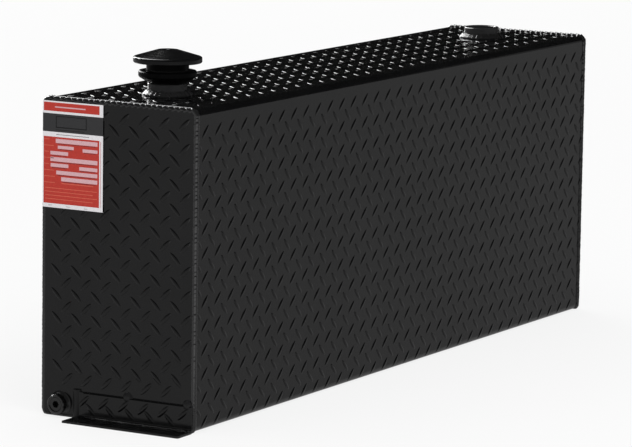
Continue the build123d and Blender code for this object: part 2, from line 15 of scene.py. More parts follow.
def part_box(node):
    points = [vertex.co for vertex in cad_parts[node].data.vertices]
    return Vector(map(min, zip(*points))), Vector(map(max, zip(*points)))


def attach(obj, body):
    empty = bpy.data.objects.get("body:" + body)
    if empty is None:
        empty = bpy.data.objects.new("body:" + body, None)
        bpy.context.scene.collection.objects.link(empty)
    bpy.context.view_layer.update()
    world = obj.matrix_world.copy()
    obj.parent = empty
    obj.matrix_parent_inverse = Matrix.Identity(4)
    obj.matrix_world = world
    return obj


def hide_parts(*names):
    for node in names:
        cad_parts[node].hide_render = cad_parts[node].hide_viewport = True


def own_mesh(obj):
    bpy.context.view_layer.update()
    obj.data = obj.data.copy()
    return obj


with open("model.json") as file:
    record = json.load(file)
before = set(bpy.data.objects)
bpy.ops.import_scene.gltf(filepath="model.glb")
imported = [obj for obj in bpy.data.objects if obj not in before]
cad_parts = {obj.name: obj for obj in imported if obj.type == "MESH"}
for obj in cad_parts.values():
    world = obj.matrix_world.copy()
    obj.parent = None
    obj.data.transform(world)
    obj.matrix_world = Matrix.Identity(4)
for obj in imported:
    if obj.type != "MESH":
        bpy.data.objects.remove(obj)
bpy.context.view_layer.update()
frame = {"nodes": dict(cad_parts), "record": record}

MM = 0.001

# Sizes of the tank, from the frame
shell_low, shell_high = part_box("tank_wrap")
WIDTH = shell_high.y - shell_low.y
HEIGHT = shell_high.z
SIDE = WIDTH / 2
WRAP_END = shell_high.x
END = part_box("weld_angle_far")[0].x
SHEET = END - WRAP_END
BEND = 9.0 * MM

# One raised lug of the tread plate, and how far its root goes into the sheet
LUG_LENGTH = 25.0 * MM
LUG_WIDTH = 6.6 * MM
LUG_HEIGHT = 1.3 * MM
LUG_ROOT = 0.3 * MM
LUG_TURN = 45
LUG_STEPS_ALONG = 10
LUG_STEPS_ACROSS = 6

# Lattice of the folded sheet. Rows lean by SKEW, as in the photo
SHEET_PITCH = 34.9 * MM
SHEET_MARGIN = 2.0 * MM
BEND_GAP = 9.0 * MM
COUPLING_CLEARANCE = 42.0 * MM
TOP_FIRST_COLUMN = -588.6 * MM
TOP_FIRST_ROW = -4.4 * MM
SIDE_FIRST_COLUMN = -584.5 * MM
SIDE_FIRST_ROW = -30.5 * MM
SIDE_PITCH_Z = 34.4 * MM
SIDE_SKEW = 0.012

# Lattice of the end plates
END_PITCH_Y = 33.3 * MM
END_PITCH_Z = 34.5 * MM
END_SKEW = 0.019
LUG_FROM_SIDE = 18.8 * MM
LUG_FROM_TOP = 39.6 * MM
LUG_EDGE = 12.5 * MM
LUG_ANGLE_GAP = 11.0 * MM

# Rows of the mounting angles: start along the row, distance from the bend, turn of the lugs
LEG_ROWS = ((14.6 * MM, 26.4 * MM, -LUG_TURN), (36.5 * MM, 15.1 * MM, LUG_TURN))
FOOT_ROW = (26.9 * MM, 29.5 * MM, LUG_TURN)

# Painted shadow: a dark strip along the top edge of the mounting angles, over the gap behind them
SHADOW_LINE_HEIGHT = 1.5 * MM
SHADOW_LINE_RISE = 0.12 * MM
SHADOW_LINE_FROM_SIDE = 1.0 * MM
SHADOW_LINE_FROM_BEAD = 12.0 * MM

# Beads round the ends. Those on top show stronger ripples, further apart
CORNER_STEPS = 6
RIPPLE_PITCH = 6.0 * MM
TOP_RIPPLE_PITCH = 9.5 * MM
BEAD_RADIUS = 4.2 * MM
BEAD_INSET = 1.5 * MM
BEAD_INSET_X = 3.6 * MM
BEAD_SPACING = 0.9 * MM
BEAD_STEPS = 16
BEAD_RISE = 0.07
TOP_BEAD_RISE = 0.45
BEAD_LEAN = 0.35
BEAD_WOBBLE = 0.04
BEAD_WOBBLES = 400
BEAD_SEED = 11

# Fillets round the couplings
RING_RIPPLES = 26
RING_STEPS_ROUND = 312
RING_STEPS_ACROSS = 7
RING_RISE = 0.13
RING_WOBBLE = 0.10
RING_INTO_PIPE = 1.0 * MM
RING_INTO_SHEET = 0.5 * MM
RING_SEED = 23

# Spring of the cap's vent, and the travel of its poppet
SPRING_TURNS = 3.5
SPRING_WIRE = 0.5 * MM
SPRING_STEPS = 168
SPRING_SIDES = 10

# Height of the cap's rim over the tank, the depth over which the painted shade under the rim comes
# in, how much colour that painted shade leaves, and the coat's shine above it
CAP_RIM_FOOT = 46.8 * MM
CAP_RIM_SOFT = 1.0 * MM
CAP_SHADE = 0.04
CAP_SHINE = 0.25


def node_material(name, colour):
    """A material with a Principled shader, and the parts that the finishes below change."""
    material = bpy.data.materials.new(name)
    material.use_nodes = True
    shader = material.node_tree.nodes["Principled BSDF"]
    shader.inputs["Base Color"].default_value = (*colour, 1)
    return material, material.node_tree, shader


def object_noise(tree, scale, detail=3.0, stretch=(1, 1, 1)):
    """Noise fixed to the object, in features per metre."""
    place = tree.nodes.new("ShaderNodeTexCoord")
    mapping = tree.nodes.new("ShaderNodeMapping")
    mapping.inputs["Scale"].default_value = stretch
    noise = tree.nodes.new("ShaderNodeTexNoise")
    noise.inputs["Scale"].default_value = scale
    noise.inputs["Detail"].default_value = detail
    noise.inputs["Roughness"].default_value = 0.5
    tree.links.new(place.outputs["Object"], mapping.inputs["Vector"])
    tree.links.new(mapping.outputs["Vector"], noise.inputs["Vector"])
    return noise.outputs["Fac"]


def ranged(tree, value, low, high, start=0.3, stop=0.7):
    """The value stretched from start and stop to low and high."""
    spread = tree.nodes.new("ShaderNodeMapRange")
    spread.inputs["From Min"].default_value = start
    spread.inputs["From Max"].default_value = stop
    spread.inputs["To Min"].default_value = low
    spread.inputs["To Max"].default_value = high
    tree.links.new(value, spread.inputs["Value"])
    return spread.outputs["Result"]


def tinted(tree, value, dark, light):
    """A colour between dark and light by the value."""
    ramp = tree.nodes.new("ShaderNodeValToRGB")
    ramp.color_ramp.elements[0].position = 0.3
    ramp.color_ramp.elements[0].color = (*dark, 1)
    ramp.color_ramp.elements[1].position = 0.7
    ramp.color_ramp.elements[1].color = (*light, 1)
    tree.links.new(value, ramp.inputs["Fac"])
    return ramp.outputs["Color"]


def bumped(tree, shader, height, distance):
    """Bump by the height value, with its full depth in metres."""
    bump = tree.nodes.new("ShaderNodeBump")
    bump.inputs["Distance"].default_value = distance
    bump.inputs["Strength"].default_value = 1.0
    tree.links.new(height, bump.inputs["Height"])
    tree.links.new(bump.outputs["Normal"], shader.inputs["Normal"])


def powder_coat(name, dark, light, rough, specular, peel_depth=0.025 * MM):
    """Black powder coat with orange peel, faint clouding and uneven gloss."""
    material, tree, shader = node_material(name, dark)
    shader.inputs["Specular IOR Level"].default_value = specular
    clouds = object_noise(tree, 14.0, detail=4.0)
    tree.links.new(tinted(tree, clouds, dark, light), shader.inputs["Base Color"])
    gloss = object_noise(tree, 60.0)
    uneven = ranged(tree, gloss, rough * 0.85, rough * 1.15)
    tree.links.new(uneven, shader.inputs["Roughness"])
    bumped(tree, shader, object_noise(tree, 650.0, detail=2.0), peel_depth)
    return material


def mill_metal(name, colour, rough, grain=(1, 1, 1)):
    """Bare metal with a drawn grain."""
    material, tree, shader = node_material(name, colour)
    shader.inputs["Metallic"].default_value = 1.0
    brushed = object_noise(tree, 900.0, stretch=grain)
    tree.links.new(ranged(tree, brushed, rough * 0.8, rough * 1.3), shader.inputs["Roughness"])
    bumped(tree, shader, brushed, 0.01 * MM)
    return material


def moulded_rubber(name, colour):
    """Matt moulded rubber."""
    material, tree, shader = node_material(name, colour)
    shader.inputs["Specular IOR Level"].default_value = 0.3
    grain = object_noise(tree, 1800.0)
    tree.links.new(ranged(tree, grain, 0.6, 0.85), shader.inputs["Roughness"])
    bumped(tree, shader, grain, 0.03 * MM)
    return material


def printed_film(name, colour, fade=0.9):
    """Printed vinyl with slightly uneven ink."""
    material, tree, shader = node_material(name, colour)
    shader.inputs["Specular IOR Level"].default_value = 0.35
    ink = object_noise(tree, 260.0, detail=4.0)
    worn = tuple(channel * fade for channel in colour)
    tree.links.new(tinted(tree, ink, worn, colour), shader.inputs["Base Color"])
    tree.links.new(ranged(tree, ink, 0.35, 0.5), shader.inputs["Roughness"])
    return material


# Coats: name, dark and light colour, roughness, shine, depth of the orange peel. The tank is one
# black powder coat all over; the bead, weld, spot and fitting coats are lighter copies of it,
# painted lighter as painted light, to stand for the light and reflections those parts show
TREAD = powder_coat("tread_coat", (0.0026, 0.0026, 0.0028), (0.0040, 0.0040, 0.0042), 0.13, 0.5)
BEAD = powder_coat("bead_coat", (0.008, 0.008, 0.0083), (0.013, 0.013, 0.0134), 0.2, 0.85)
WELD = powder_coat("weld_coat", (0.010, 0.010, 0.0103), (0.016, 0.016, 0.0165), 0.3, 0.6)
SPOT = powder_coat("spot_coat", (0.009, 0.009, 0.0093), (0.014, 0.014, 0.0144), 0.35, 0.3)
FITTING = powder_coat("fitting_coat", (0.020, 0.020, 0.0205), (0.028, 0.028, 0.029), 0.24, 0.5)
# Near-black and dull: painted shade on the filler's neck under the cap, and on the painted shadow
# lines along the angles
SHADE_COAT = powder_coat("painted_shade_coat", (0.0012, 0.0012, 0.0013), (0.002, 0.002, 0.0021), 0.3, 0.06)
CAST = (0.003, 0.003, 0.0031), (0.006, 0.006, 0.0062)
CAP = powder_coat("cap_coat", *CAST, 0.14, 0.25, 0.05 * MM)
DRAIN = powder_coat("drain_coat", *CAST, 0.24, 0.8, 0.05 * MM)
ALUMINIUM = mill_metal("mill_aluminium", (0.62, 0.62, 0.64), 0.38, grain=(0.05, 1, 1))
STEEL = mill_metal("bright_steel", (0.55, 0.55, 0.57), 0.3)
RUBBER = moulded_rubber("gasket_rubber", (0.012, 0.012, 0.012))
LABEL_RED = printed_film("label_red", (0.52, 0.036, 0.022))
LABEL_ROSE = printed_film("label_rose", (0.68, 0.13, 0.08))
LABEL_WHITE = printed_film("label_white", (0.80, 0.78, 0.80), 0.95)
LABEL_PINK = printed_film("label_pink", (0.70, 0.43, 0.46), 0.92)
LABEL_BLACK = printed_film("label_black", (0.036, 0.036, 0.038))
LABEL_DEEP = printed_film("label_deep", (0.008, 0.008, 0.009))

SLOT_FINISH = {
    "tread_plate": TREAD,
    "weld_bead": BEAD,
    "fitting_coat": FITTING,
    "cap_coat": CAP,
    "mill_aluminium": ALUMINIUM,
    "bright_steel": STEEL,
    "gasket_rubber": RUBBER,
    "label_film": LABEL_RED,
}

# Nodes that look different from the rest of their slot; the lighter weld and spot coats are painted
# light
NODE_FINISH = {
    "weld_filler_coupling": WELD,
    "weld_pump_coupling": WELD,
    "weld_drain_coupling": WELD,
    # Painted shade: the neck under the cap gets the near-black, dull coat
    "filler_adapter": SHADE_COAT,
    "weld_angle_near": SPOT,
    "weld_angle_far": SPOT,
    "drain_coupling": DRAIN,
    "drain_plug": DRAIN,
}


def paint_shade_below(material, height):
    """Paints shade on a coat below a height of its object, as in the shade under the cap's rim:
    colour and shine are taken away there.
    """
    tree = material.node_tree
    shader = tree.nodes["Principled BSDF"]
    place = tree.nodes.new("ShaderNodeTexCoord")
    split = tree.nodes.new("ShaderNodeSeparateXYZ")
    tree.links.new(place.outputs["Object"], split.inputs[0])
    edge = (height - CAP_RIM_SOFT, height + CAP_RIM_SOFT)
    above = ranged(tree, split.outputs["Z"], CAP_SHADE, 1.0, *edge)
    colour = shader.inputs["Base Color"].links[0].from_socket
    dim = tree.nodes.new("ShaderNodeVectorMath")
    dim.operation = "SCALE"
    tree.links.new(colour, dim.inputs[0])
    tree.links.new(above, dim.inputs["Scale"])
    tree.links.new(dim.outputs[0], shader.inputs["Base Color"])
    shine = ranged(tree, above, CAP_SHADE, CAP_SHINE, 0.0, 1.0)
    tree.links.new(shine, shader.inputs["Specular IOR Level"])


def dress_frame():
    """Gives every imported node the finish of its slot, or its own."""
    for part in frame["record"]["subparts"]:
        node = frame["nodes"][part["node"]]
        finish = NODE_FINISH.get(part["node"], SLOT_FINISH[part["material_slot"]])
        for slot in node.material_slots:
            slot.material = finish
    cap_place = frame["nodes"]["cap_casting"].matrix_world.translation
    # Painted shade on the cap's coat below its rim
    paint_shade_below(CAP, HEIGHT + CAP_RIM_FOOT - cap_place.z)


def mesh_object(name, points, faces, materials):
    """A mesh object in the scene, from points in metres."""
    mesh = bpy.data.meshes.new(name)
    mesh.from_pydata(points, [], faces)
    mesh.validate()
    for material in materials:
        mesh.materials.append(material)
    thing = bpy.data.objects.new(name, mesh)
    bpy.context.scene.collection.objects.link(thing)
    return thing


def add_piece(name, points, faces, materials, smooth=True, body="tank"):
    """A visible piece that rides on a body."""
    piece = mesh_object(name, points, faces, materials)
    if smooth:
        polygons = piece.data.polygons
        polygons.foreach_set("use_smooth", [True] * len(polygons))
    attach(piece, body)
    return piece


def node_middle(node):
    """Middle of a node's box as x, y and z, with half its length along X."""
    low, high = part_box(node)
    middle = [(a + b) / 2 for a, b in zip(low, high)]
    return *middle, (high.x - low.x) / 2


def closed_loop(count, size):
    """Faces of a tube round a closed path: count sections of size points each."""
    faces = []
    for i in range(count):
        here, after = i * size, (i + 1) % count * size
        for k in range(size):
            faces.append((after + k, after + (k + 1) % size, here + (k + 1) % size, here + k))
    return faces


def lug_template():
    """One lug as (along, across, height) points and faces: a long lens on a short root."""
    points, faces = [], []
    columns = LUG_STEPS_ACROSS + 1
    for i in range(1, LUG_STEPS_ALONG):
        along = -math.cos(math.pi * i / LUG_STEPS_ALONG)
        half_width = (1 - along**2) ** 0.55 * LUG_WIDTH / 2
        for j in range(columns):
            across = -math.cos(math.pi * j / LUG_STEPS_ACROSS)
            lift = (1 - across**2) ** 0.9 * (1 - along**2) ** 0.8
            points.append((along * LUG_LENGTH / 2, across * half_width, lift * LUG_HEIGHT))
    rows = LUG_STEPS_ALONG - 1
    for i in range(rows - 1):
        for j in range(LUG_STEPS_ACROSS):
            a = i * columns + j
            faces.append((a, a + columns, a + columns + 1, a + 1))
    first_tip = len(points)
    points += [(-LUG_LENGTH / 2, 0, 0), (LUG_LENGTH / 2, 0, 0)]
    last_row = (rows - 1) * columns
    for j in range(LUG_STEPS_ACROSS):
        faces.append((first_tip, j, j + 1))
        faces.append((first_tip + 1, last_row + j + 1, last_row + j))
    right = [i * columns for i in range(rows)]
    left = [i * columns + LUG_STEPS_ACROSS for i in reversed(range(rows))]
    outline = [first_tip, *right, first_tip + 1, *left]
    root = len(points)
    points += [(points[k][0], points[k][1], -LUG_ROOT) for k in outline]
    size = len(outline)
    for k in range(size):
        after = (k + 1) % size
        faces.append((outline[k], root + k, root + after, outline[after]))
    faces.append(tuple(root + k for k in reversed(range(size))))
    return points, faces


LUG_POINTS, LUG_FACES = lug_template()


def lug_field(name, places, surface_point):
    """All lugs of a sheet: places (u, v, turn), laid on it by surface_point(u, v, height)."""
    points, faces = [], []
    for u, v, turn in places:
        start = len(points)
        c, s = math.cos(turn), math.sin(turn)
        for along, across, lift in LUG_POINTS:
            spot = (u + along * c - across * s, v + along * s + across * c)
            points.append(surface_point(*spot, lift))
        faces += [tuple(start + k for k in face) for face in LUG_FACES]
    add_piece(name, points, faces, [TREAD])


def lattice(u_start, u_pitch, u_range, v_start, v_pitch, v_range):
    """Places of both lug families over a sheet: the second is half a pitch on, turned back."""
    places = []
    for family, sign in ((0.0, 1), (0.5, -1)):
        first_u = math.ceil((u_range[0] - u_start) / u_pitch - family)
        last_u = math.floor((u_range[1] - u_start) / u_pitch - family)
        first_v = math.ceil((v_range[0] - v_start) / v_pitch - family)
        last_v = math.floor((v_range[1] - v_start) / v_pitch - family)
        for i in range(first_u, last_u + 1):
            for j in range(first_v, last_v + 1):
                u = u_start + (i + family) * u_pitch
                v = v_start + (j + family) * v_pitch
                places.append((u, v, sign * math.radians(LUG_TURN)))
    return places


# The folded sheet is unrolled to a length s that is 0 in the middle of the near top bend
ARC = BEND * math.pi / 2
TOP_FLAT = WIDTH - 2 * BEND
SIDE_FLAT = HEIGHT - 2 * BEND


def wrap_point(x, s, h):
    """Point of the folded sheet at length s round it, h off its outer face."""
    x = max(-WRAP_END, min(WRAP_END, x))
    reach = BEND + h
    if s < -ARC / 2 - SIDE_FLAT:
        turn = (-ARC / 2 - SIDE_FLAT - s) / BEND
        return (x, BEND - SIDE - reach * math.cos(turn), BEND - reach * math.sin(turn))
    if s < -ARC / 2:
        return (x, -SIDE - h, HEIGHT - BEND + (s + ARC / 2))
    if s < ARC / 2:
        turn = (s + ARC / 2) / BEND
        return (x, BEND - SIDE - reach * math.cos(turn), HEIGHT - BEND + reach * math.sin(turn))
    if s < ARC / 2 + TOP_FLAT:
        return (x, BEND - SIDE + (s - ARC / 2), HEIGHT + h)
    if s < ARC * 1.5 + TOP_FLAT:
        turn = (s - ARC / 2 - TOP_FLAT) / BEND
        return (x, SIDE - BEND + reach * math.sin(turn), HEIGHT - BEND + reach * math.cos(turn))
    if s < ARC * 1.5 + TOP_FLAT + SIDE_FLAT:
        return (x, SIDE + h, HEIGHT - BEND - (s - ARC * 1.5 - TOP_FLAT))
    turn = (s - ARC * 1.5 - TOP_FLAT - SIDE_FLAT) / BEND
    return (x, SIDE - BEND + reach * math.cos(turn), BEND - reach * math.sin(turn))


def clear_of_couplings(place):
    """Whether a lug on the top stays outside the welded couplings."""
    x, y = place[0], BEND - SIDE + (place[1] - ARC / 2)
    middles = [node_middle(node)[:2] for node in ("filler_coupling", "pump_coupling")]
    return all(math.hypot(x - u, y - v) >= COUPLING_CLEARANCE for u, v in middles)


def sheet_lugs():
    """Raised lugs on the folded sheet, left out where the top bends press them flat."""
    x_range = (-WRAP_END + SHEET_MARGIN, WRAP_END - SHEET_MARGIN)
    bend_gap = ARC / 2 + BEND_GAP
    top_end = TOP_FLAT + ARC
    columns = (TOP_FIRST_COLUMN, SHEET_PITCH, x_range)
    top = lattice(*columns, TOP_FIRST_ROW, SHEET_PITCH, (bend_gap, top_end - bend_gap))
    lug_field("tread_lugs_top", list(filter(clear_of_couplings, top)), wrap_point)
    columns = (SIDE_FIRST_COLUMN, SHEET_PITCH, x_range)
    for name, span, skew in (
        ("tread_lugs_front", (-SIDE_FLAT - ARC, -bend_gap), SIDE_SKEW),
        ("tread_lugs_back", (top_end + bend_gap, top_end + SIDE_FLAT + ARC), 0.0),
    ):
        places = lattice(*columns, SIDE_FIRST_ROW, SIDE_PITCH_Z, span)
        leaning = [(x + skew * (SIDE_FIRST_ROW - s), s, turn) for x, s, turn in places]
        lug_field(name, leaning, wrap_point)


def rounded_outline(low, high, radius):
    """Points round a rectangle with round corners, with their outward directions."""
    outline = []
    for at_high_u, at_high_v, start in ((1, 1, 0), (0, 1, 90), (0, 0, 180), (1, 0, 270)):
        u = high[0] - radius if at_high_u else low[0] + radius
        v = high[1] - radius if at_high_v else low[1] + radius
        for k in range(CORNER_STEPS + 1):
            angle = math.radians(start + 90 / CORNER_STEPS * k)
            out = Vector((math.cos(angle), math.sin(angle)))
            outline.append((Vector((u, v)) + out * radius, out))
    return outline


def end_plate_sheet(name, node, side):
    """Flat end plate with the rounded corners of the shell, without the solid one's lugs."""
    low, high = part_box(node)
    corner = BEND - (SIDE - high.y)
    outline = rounded_outline((-high.y, low.z), (high.y, high.z), corner)
    size = len(outline)
    points = [(side * x, point.x, point.y) for x in (WRAP_END, END) for point, _ in outline]
    faces = [tuple(reversed(range(size))), tuple(range(size, 2 * size))]
    faces += [(k, (k + 1) % size, size + (k + 1) % size, size + k) for k in range(size)]
    if side < 0:
        faces = [tuple(reversed(face)) for face in faces]
    piece = add_piece(name, points, faces, [TREAD], smooth=False)
    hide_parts(node)


def end_lugs():
    """Raised lugs on both end plates, the far one being the near one turned half a turn."""
    top_row = HEIGHT - LUG_FROM_TOP
    y_range = (LUG_EDGE - SIDE, SIDE - LUG_EDGE)
    z_range = (LUG_EDGE, HEIGHT - LUG_EDGE)
    columns = (SIDE - LUG_FROM_SIDE, END_PITCH_Y, y_range)
    grid = lattice(*columns, top_row, END_PITCH_Z, z_range)
    leaning = [(y - END_SKEW * (top_row - z), z, turn) for y, z, turn in grid]
    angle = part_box("mounting_angle_near")[1]
    drain_low, drain_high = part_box("weld_drain_coupling")
    drain = node_middle("weld_drain_coupling")[1:3]
    drain_reach = (drain_high.y - drain_low.y) / 2 + LUG_LENGTH / 2

    def clear_of_angle(place):
        y, z = place[:2]
        beside = z > angle.z + LUG_ANGLE_GAP or y > angle.y + LUG_ANGLE_GAP
        return y > LUG_EDGE - SIDE and beside

    def clear_of_drain(place):
        return math.hypot(place[0] - drain[0], place[1] - drain[1]) > drain_reach

    far = list(filter(clear_of_angle, leaning))
    near = list(filter(clear_of_drain, far))
    lug_field("tread_lugs_end_near", near, lambda y, z, h: (-END - h, y, z))
    lug_field("tread_lugs_end_far", far, lambda y, z, h: (END + h, -y, z))


def angle_lugs():
    """Raised lugs on both mounting angles: two rows on the upright leg and one on the foot."""
    low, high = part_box("mounting_angle_near")

    def row(start, distance, turn):
        count = math.ceil((high.y - low.y - start - LUG_EDGE) / END_PITCH_Y)
        along = [low.y + start + k * END_PITCH_Y for k in range(count)]
        return [(y, distance, math.radians(turn)) for y in along]

    leg = [place for values in LEG_ROWS for place in row(*values)]
    foot = row(*FOOT_ROW)
    for name, side in (("mounting_angle_near", -1), ("mounting_angle_far", 1)):

        def leg_point(y, z, h, side=side):
            return (side * (END + SHEET + h), -side * y, z)

        def foot_point(y, distance, h, side=side):
            return (side * (END + distance), -side * y, SHEET + h)

        lug_field(f"{name}_lugs_leg", leg, leg_point)
        lug_field(f"{name}_lugs_foot", foot, foot_point)


def paint_shadow_lines():
    """Painted shadow: a dark, dull strip along the top edge of both angles, over the gap behind
    them where shade falls.
    """
    low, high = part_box("mounting_angle_near")
    front = END + SHEET
    for name, side in (("near", -1), ("far", 1)):
        points = []
        for depth in (front - SHADOW_LINE_RISE, front + SHADOW_LINE_RISE):
            for y in (low.y + SHADOW_LINE_FROM_SIDE, high.y - SHADOW_LINE_FROM_BEAD):
                for z in (high.z - SHADOW_LINE_HEIGHT, high.z + SHADOW_LINE_RISE):
                    points.append((side * depth, -side * y, z))
        faces = [(0, 1, 3, 2), (4, 6, 7, 5), (0, 4, 5, 1), (2, 3, 7, 6), (0, 2, 6, 4), (1, 5, 7, 3)]
        # Each strip is a painted shadow line, in the painted shade coat
        line = f"mounting_angle_{name}_edge"
        add_piece(line, points, faces, [SHADE_COAT], smooth=False)


def bead_path():
    """Close points round the tank's cross section at the weld root, with their directions."""
    half_y, half_z = SIDE - BEAD_INSET, HEIGHT / 2 - BEAD_INSET
    path = rounded_outline((-half_y, -half_z), (half_y, half_z), BEND - BEAD_INSET)
    dense = []
    for k, (point, out) in enumerate(path):
        after, after_out = path[(k + 1) % len(path)]
        count = max(1, round((after - point).length / BEAD_SPACING))
        for i in range(count):
            share = i / count
            dense.append((point.lerp(after, share), out.lerp(after_out, share).normalized()))
    return dense


def rippled_end_weld(name, node, side):
    """Bead round one end: overlapping ripples that lean towards the end of the run."""
    path = bead_path()
    points = []
    ripples = 0.0
    before = path[0][0]
    random.seed(BEAD_SEED + side)
    wobble = [random.uniform(-1, 1) for _ in range(BEAD_WOBBLES)]
    for point, out in path:
        on_top = out.y > 0.9
        ripples += (point - before).length / (TOP_RIPPLE_PITCH if on_top else RIPPLE_PITCH)
        rise = TOP_BEAD_RISE if on_top else BEAD_RISE
        before = point
        for k in range(BEAD_STEPS):
            angle = 2 * math.pi * k / BEAD_STEPS
            phase = ripples + BEAD_LEAN * math.cos(2 * (angle - math.pi / 4))
            ripple = phase - math.floor(phase)
            uneven = BEAD_WOBBLE * wobble[int(phase) % len(wobble)]
            radius = BEAD_RADIUS * (1 + rise * ((1 - ripple) ** 1.5 - 0.5) + uneven)
            x = side * (END - BEAD_INSET_X) + side * radius * math.cos(angle)
            spread = out * radius * math.sin(angle)
            z = max(0.0, point.y + HEIGHT / 2 + spread.y)
            points.append((x, point.x + spread.x, z))
    faces = closed_loop(len(path), BEAD_STEPS)
    if side > 0:
        faces = [tuple(reversed(face)) for face in faces]
    piece = add_piece(name, points, faces, [BEAD])
    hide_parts(node)


def rippled_ring_weld(name, node, coupling):
    """Fillet round a coupling, with overlapping ripples of uneven size."""
    centre_x, centre_y, _, foot = node_middle(node)
    pipe = node_middle(coupling)[3]
    leg = foot - pipe
    random.seed(RING_SEED)
    wobble = [random.uniform(-1, 1) for _ in range(RING_RIPPLES)]
    points = []
    for i in range(RING_STEPS_ROUND):
        around = 2 * math.pi * i / RING_STEPS_ROUND
        ripples = RING_RIPPLES * i / RING_STEPS_ROUND
        ripple = ripples - math.floor(ripples)
        swell = 1.0 + RING_RISE * ((1 - ripple) ** 1.5 - 0.4) + RING_WOBBLE * wobble[int(ripples)]
        profile = [(pipe - RING_INTO_PIPE, HEIGHT - RING_INTO_SHEET)]
        for k in range(RING_STEPS_ACROSS):
            tilt = math.pi / 2 * k / (RING_STEPS_ACROSS - 1)
            reach = leg * swell * (0.8 + 0.2 * abs(math.cos(2 * tilt)))
            profile.append((pipe + reach * math.cos(tilt), HEIGHT + reach * math.sin(tilt)))
        profile.append((pipe - RING_INTO_PIPE, profile[-1][1]))
        for radius, z in profile:
            x, y = radius * math.cos(around), radius * math.sin(around)
            points.append((centre_x + x, centre_y + y, z))
    faces = closed_loop(RING_STEPS_ROUND, RING_STEPS_ACROSS + 2)
    piece = add_piece(name, points, faces, [WELD])
    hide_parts(node)


def vent_spring_coil():
    """Round wire spring under the cap's crown, drawn at its rest length; the real one shortens as
    the poppet lifts.
    """
    low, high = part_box("vent_spring")
    centre_x, centre_y, _, outer = node_middle("vent_spring")
    coil = outer - SPRING_WIRE
    rise = high.z - low.z - 2 * SPRING_WIRE
    points, faces = [], []
    for i in range(SPRING_STEPS + 1):
        share = i / SPRING_STEPS
        around = 2 * math.pi * SPRING_TURNS * share
        for k in range(SPRING_SIDES):
            section = 2 * math.pi * k / SPRING_SIDES
            radius = coil + SPRING_WIRE * math.cos(section)
            x, y = radius * math.cos(around), radius * math.sin(around)
            z = low.z + SPRING_WIRE + rise * share + SPRING_WIRE * math.sin(section)
            points.append((centre_x + x, centre_y + y, z))
    for i in range(SPRING_STEPS):
        for k in range(SPRING_SIDES):
            a, b = i * SPRING_SIDES + k, i * SPRING_SIDES + (k + 1) % SPRING_SIDES
            faces.append((a, b, b + SPRING_SIDES, a + SPRING_SIDES))
    faces.append(tuple(reversed(range(SPRING_SIDES))))
    faces.append(tuple(SPRING_STEPS * SPRING_SIDES + k for k in range(SPRING_SIDES)))
    piece = add_piece("vent_spring_coil", points, faces, [STEEL], body="cap")
    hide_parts("vent_spring")
    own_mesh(piece)


LABEL_INKS = [LABEL_WHITE, LABEL_RED, LABEL_PINK, LABEL_BLACK, LABEL_ROSE, LABEL_DEEP]
WHITE, RED, PINK, BLACK, ROSE, DEEP = range(len(LABEL_INKS))
LABEL_LAYER = 0.04 * MM
LABEL_BACK = 0.2 * MM
RED_RIGHT = 95.5

# Bare bars of the red body, in mm from the label's top corner: left, right, top, bottom
LABEL_BARS = (
    (22, 92.5, 53.6, 59.6),
    (25.5, 52.5, 63.2, 67.6),
    (67.5, 92.5, 65.0, 69.6),
    (13.0, 43.0, 71.6, 76.6),
    (13.0, 92.5, 80.0, 86.0),
    (13.5, 43.5, 89.0, 94.0),
    (62.0, 92.5, 90.8, 95.8),
    (23, 92.5, 99.0, 104.4),
    (31.5, 92.5, 107.8, 113.6),
)


def label_fields(width, height):
    """Fields of the print as left, right, top and bottom in mm, with their ink and layer."""
    fields = [
        (0, width, 0, height, WHITE, 0),
        (1.5, RED_RIGHT, 2.0, 14.4, RED, 1),
        (20.5, 72, 7.5, 9.2, PINK, 2),
        (0, width, 17.8, 44.0, BLACK, 1),
        (22, 74, 21.0, 22.0, DEEP, 2),
        (22, 74, 36.5, 38.0, DEEP, 2),
        (22, 23.4, 22.0, 36.5, DEEP, 2),
        (72.6, 74, 22.0, 36.5, DEEP, 2),
        (22, 70, 40.4, 41.2, DEEP, 2),
        (23, 78, 47.2, 47.9, BLACK, 1),
        (1.5, RED_RIGHT, 51.0, 146.5, RED, 1),
        (97.4, 98.0, 52.0, 146.5, RED, 1),
    ]
    fields += [(*bar, PINK, 2) for bar in LABEL_BARS]
    for left, right, _, bottom in LABEL_BARS:
        fields.append((left + 2, right - 3, bottom + 0.7, bottom + 1.3, BLACK, 2))
    for line in range(8):
        top = 54.5 + 8.8 * line
        right = 11 + 8 * (line % 2) if line < 6 else 21
        fields.append((2.5, right, top, top + 0.9, ROSE, 2))
    fields.append((32, 86, 116.4, 117.4, ROSE, 2))
    for line in range(4):
        top = 124.0 + 5.2 * line
        fields.append((4, 92 - 7 * (line % 2), top, top + 0.9, ROSE, 2))
    for line in range(3):
        left, top = 10 + 30 * line, 0.4 * line
        fields.append((left, left + 6, 149.0 + top, 149.5 + top, BLACK, 1))
    return fields


def label_print():
    """Sticker with bare fields: header band, dark band, red body, pale field bars and lines."""
    low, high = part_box("label")
    points, faces, finish = [], [], []
    fields = label_fields((high.y - low.y) / MM, (high.z - low.z) / MM)
    for left, right, top, bottom, ink, layer in fields:
        a = len(points)
        for x in (low.x + LABEL_BACK, low.x - LABEL_LAYER * (layer + 1)):
            for y, z in ((left, top), (right, top), (right, bottom), (left, bottom)):
                points.append((x, high.y - y * MM, high.z - z * MM))
        faces += [(a + 4, a + 5, a + 6, a + 7), (a + 3, a + 2, a + 1, a)]
        for k in range(4):
            faces.append((a + k, a + (k + 1) % 4, a + 4 + (k + 1) % 4, a + 4 + k))
        finish += [ink] * 6
    piece = add_piece("label_print", points, faces, LABEL_INKS, smooth=False)
    piece.data.polygons.foreach_set("material_index", finish)
    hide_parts("label")


